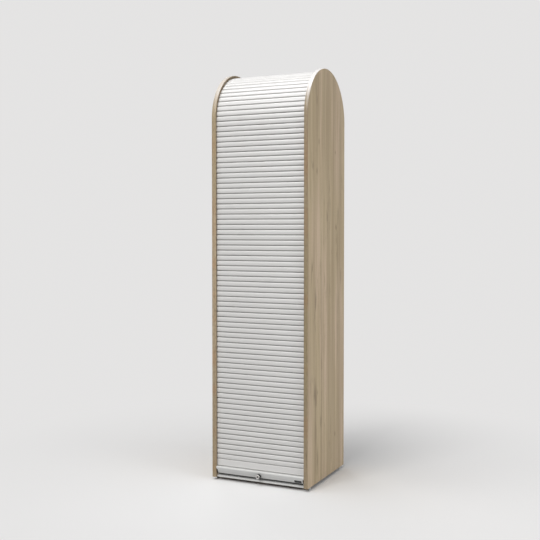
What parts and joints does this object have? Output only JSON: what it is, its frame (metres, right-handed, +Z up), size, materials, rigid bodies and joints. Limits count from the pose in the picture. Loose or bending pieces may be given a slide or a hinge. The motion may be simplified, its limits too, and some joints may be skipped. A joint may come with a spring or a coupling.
{
  "type": "tambour cabinet",
  "caption": "Tall cabinet with wood-look sides and a half-round top; a white slatted tambour door runs up over the arch, with shelves behind it and a cylinder lock in its grip bar.",
  "frame": {"origin": "on the floor under the middle of the cabinet", "axes": "+Z up, the door faces -Y, +X to the right seen from the front"},
  "size_m": [0.48, 0.4746, 1.9048],
  "materials": {
    "oak_decor": "grey-beige oak melamine",
    "oak_edge": "edge banding in the same decor",
    "white_board": "white melamine board",
    "white_hardboard": "white lacquered hardboard",
    "slat_plastic": "white satin extruded plastic",
    "grip_plastic": "white satin extruded plastic",
    "glide_plastic": "white plastic",
    "chrome": "polished nickel",
    "nickel": "nickel plated steel",
    "zinc": "zinc plated",
    "rubber": "black rubber",
    "beech": "fluted beech"
  },
  "bodies": {
    "cabinet": {"left_side_panel": "oak_decor", "right_side_panel": "oak_decor", "left_edge_band": "oak_edge", "right_edge_band": "oak_edge", "base_panel": "white_board", "top_panel": "white_board", "shelf_1": "white_board", "shelf_2": "white_board", "shelf_3": "white_board", "shelf_4": "white_board", "inner_back": "white_hardboard", "rear_cover": "white_hardboard", "shelf_pins": "nickel", "floor_glides": "glide_plastic", "door_stops": "rubber", "cam_fittings": "zinc", "cam_bolts": "zinc", "wood_dowels": "beech", "strike_plate": "nickel", "arch_slats": "slat_plastic", "turning_slat": "slat_plastic", "slats_01": "slat_plastic"},
    "door": {"lead_bar": "grip_plastic", "lead_slat": "slat_plastic", "lead_bar_caps": "grip_plastic", "lead_bar_screws": "zinc", "lock_barrel": "chrome", "lock_nut": "zinc", "slats_22": "slat_plastic"},
    "lock_core": {"lock_plug": "chrome", "lock_cam": "zinc", "cam_screw": "zinc"},
    "curtain_02": {"slats_02": "slat_plastic"},
    "curtain_03": {"slats_03": "slat_plastic"},
    "curtain_04": {"slats_04": "slat_plastic"},
    "curtain_05": {"slats_05": "slat_plastic"},
    "curtain_06": {"slats_06": "slat_plastic"},
    "curtain_07": {"slats_07": "slat_plastic"},
    "curtain_08": {"slats_08": "slat_plastic"},
    "curtain_09": {"slats_09": "slat_plastic"},
    "curtain_10": {"slats_10": "slat_plastic"},
    "curtain_11": {"slats_11": "slat_plastic"},
    "curtain_12": {"slats_12": "slat_plastic"},
    "curtain_13": {"slats_13": "slat_plastic"},
    "curtain_14": {"slats_14": "slat_plastic"},
    "curtain_15": {"slats_15": "slat_plastic"},
    "curtain_16": {"slats_16": "slat_plastic"},
    "curtain_17": {"slats_17": "slat_plastic"},
    "curtain_18": {"slats_18": "slat_plastic"},
    "curtain_19": {"slats_19": "slat_plastic"},
    "curtain_20": {"slats_20": "slat_plastic"},
    "curtain_21": {"slats_21": "slat_plastic"}
  },
  "joints": [
    {"name": "door_lift", "type": "slide", "parent": "cabinet", "child": "door", "axis": [0, 0, 1], "range_m": [0, 1.4931], "deforming": ["slats_01", "slats_02", "slats_03", "slats_04", "slats_05", "slats_06", "slats_07", "slats_08", "slats_09", "slats_10", "slats_11", "slats_12", "slats_13", "slats_14", "slats_15", "slats_16", "slats_17", "slats_18", "slats_19", "slats_20", "slats_21"]},
    {"name": "key_turn", "type": "hinge", "parent": "door", "child": "lock_core", "pos_m": [0, -0.21, 0.0437], "axis": [0, 1, 0], "range_deg": [0, 90]},
    {"name": "curtain_02_lift", "type": "slide", "parent": "cabinet", "child": "curtain_02", "axis": [0, 0, 1], "range_m": [0, 0.0716]},
    {"name": "curtain_03_lift", "type": "slide", "parent": "cabinet", "child": "curtain_03", "axis": [0, 0, 1], "range_m": [0, 0.1427]},
    {"name": "curtain_04_lift", "type": "slide", "parent": "cabinet", "child": "curtain_04", "axis": [0, 0, 1], "range_m": [0, 0.2138]},
    {"name": "curtain_05_lift", "type": "slide", "parent": "cabinet", "child": "curtain_05", "axis": [0, 0, 1], "range_m": [0, 0.2849]},
    {"name": "curtain_06_lift", "type": "slide", "parent": "cabinet", "child": "curtain_06", "axis": [0, 0, 1], "range_m": [0, 0.356]},
    {"name": "curtain_07_lift", "type": "slide", "parent": "cabinet", "child": "curtain_07", "axis": [0, 0, 1], "range_m": [0, 0.4271]},
    {"name": "curtain_08_lift", "type": "slide", "parent": "cabinet", "child": "curtain_08", "axis": [0, 0, 1], "range_m": [0, 0.4982]},
    {"name": "curtain_09_lift", "type": "slide", "parent": "cabinet", "child": "curtain_09", "axis": [0, 0, 1], "range_m": [0, 0.5693]},
    {"name": "curtain_10_lift", "type": "slide", "parent": "cabinet", "child": "curtain_10", "axis": [0, 0, 1], "range_m": [0, 0.6404]},
    {"name": "curtain_11_lift", "type": "slide", "parent": "cabinet", "child": "curtain_11", "axis": [0, 0, 1], "range_m": [0, 0.7115]},
    {"name": "curtain_12_lift", "type": "slide", "parent": "cabinet", "child": "curtain_12", "axis": [0, 0, 1], "range_m": [0, 0.7826]},
    {"name": "curtain_13_lift", "type": "slide", "parent": "cabinet", "child": "curtain_13", "axis": [0, 0, 1], "range_m": [0, 0.8537]},
    {"name": "curtain_14_lift", "type": "slide", "parent": "cabinet", "child": "curtain_14", "axis": [0, 0, 1], "range_m": [0, 0.9248]},
    {"name": "curtain_15_lift", "type": "slide", "parent": "cabinet", "child": "curtain_15", "axis": [0, 0, 1], "range_m": [0, 0.9959]},
    {"name": "curtain_16_lift", "type": "slide", "parent": "cabinet", "child": "curtain_16", "axis": [0, 0, 1], "range_m": [0, 1.067]},
    {"name": "curtain_17_lift", "type": "slide", "parent": "cabinet", "child": "curtain_17", "axis": [0, 0, 1], "range_m": [0, 1.1381]},
    {"name": "curtain_18_lift", "type": "slide", "parent": "cabinet", "child": "curtain_18", "axis": [0, 0, 1], "range_m": [0, 1.2092]},
    {"name": "curtain_19_lift", "type": "slide", "parent": "cabinet", "child": "curtain_19", "axis": [0, 0, 1], "range_m": [0, 1.2803]},
    {"name": "curtain_20_lift", "type": "slide", "parent": "cabinet", "child": "curtain_20", "axis": [0, 0, 1], "range_m": [0, 1.3514]},
    {"name": "curtain_21_lift", "type": "slide", "parent": "cabinet", "child": "curtain_21", "axis": [0, 0, 1], "range_m": [0, 1.4225]}
  ],
  "couplings": [
    {"joint": "curtain_02_lift", "follows": "door_lift", "ratio": 0.047619},
    {"joint": "curtain_03_lift", "follows": "door_lift", "ratio": 0.095238},
    {"joint": "curtain_04_lift", "follows": "door_lift", "ratio": 0.14286},
    {"joint": "curtain_05_lift", "follows": "door_lift", "ratio": 0.19048},
    {"joint": "curtain_06_lift", "follows": "door_lift", "ratio": 0.2381},
    {"joint": "curtain_07_lift", "follows": "door_lift", "ratio": 0.28571},
    {"joint": "curtain_08_lift", "follows": "door_lift", "ratio": 0.33333},
    {"joint": "curtain_09_lift", "follows": "door_lift", "ratio": 0.38095},
    {"joint": "curtain_10_lift", "follows": "door_lift", "ratio": 0.42857},
    {"joint": "curtain_11_lift", "follows": "door_lift", "ratio": 0.47619},
    {"joint": "curtain_12_lift", "follows": "door_lift", "ratio": 0.52381},
    {"joint": "curtain_13_lift", "follows": "door_lift", "ratio": 0.57143},
    {"joint": "curtain_14_lift", "follows": "door_lift", "ratio": 0.61905},
    {"joint": "curtain_15_lift", "follows": "door_lift", "ratio": 0.66667},
    {"joint": "curtain_16_lift", "follows": "door_lift", "ratio": 0.71429},
    {"joint": "curtain_17_lift", "follows": "door_lift", "ratio": 0.7619},
    {"joint": "curtain_18_lift", "follows": "door_lift", "ratio": 0.80952},
    {"joint": "curtain_19_lift", "follows": "door_lift", "ratio": 0.85714},
    {"joint": "curtain_20_lift", "follows": "door_lift", "ratio": 0.90476},
    {"joint": "curtain_21_lift", "follows": "door_lift", "ratio": 0.95238}
  ]
}
